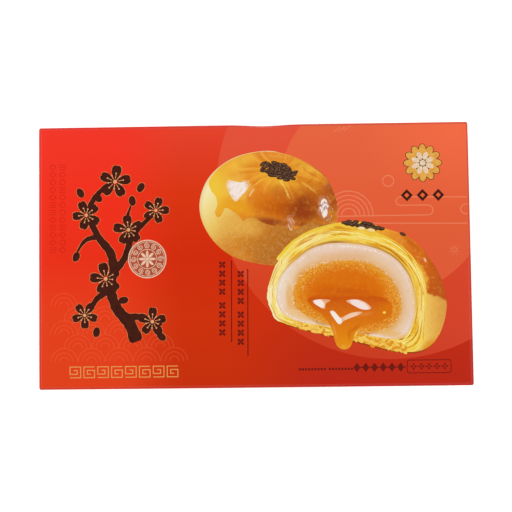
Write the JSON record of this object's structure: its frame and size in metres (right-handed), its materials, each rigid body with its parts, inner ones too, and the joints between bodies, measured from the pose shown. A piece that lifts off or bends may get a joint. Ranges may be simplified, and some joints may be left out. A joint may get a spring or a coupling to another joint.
{
  "type": "mooncake carton",
  "caption": "Shut flat paperboard carton for filled pastries, with a printed red front panel, closure panels at both short ends and small thumb notches.",
  "frame": {"origin": "middle of the back panel, on the surface that the carton lies on", "axes": "+X along the long folds, +Y across the front panel towards its upper edge, +Z from the back panel out of the printed front panel"},
  "size_m": [0.2208, 0.1352, 0.0508],
  "materials": {
    "printed_board": "gloss laminated print on folded boxboard",
    "raw_board": "cut edge of grey-backed boxboard, matt",
    "gold_print": "gold ink under gloss laminate",
    "dark_print": "dark brown ink under gloss laminate",
    "picture_print": "four-colour print under gloss laminate"
  },
  "bodies": {
    "root": {"carton": "printed_board"}
  },
  "joints": []
}
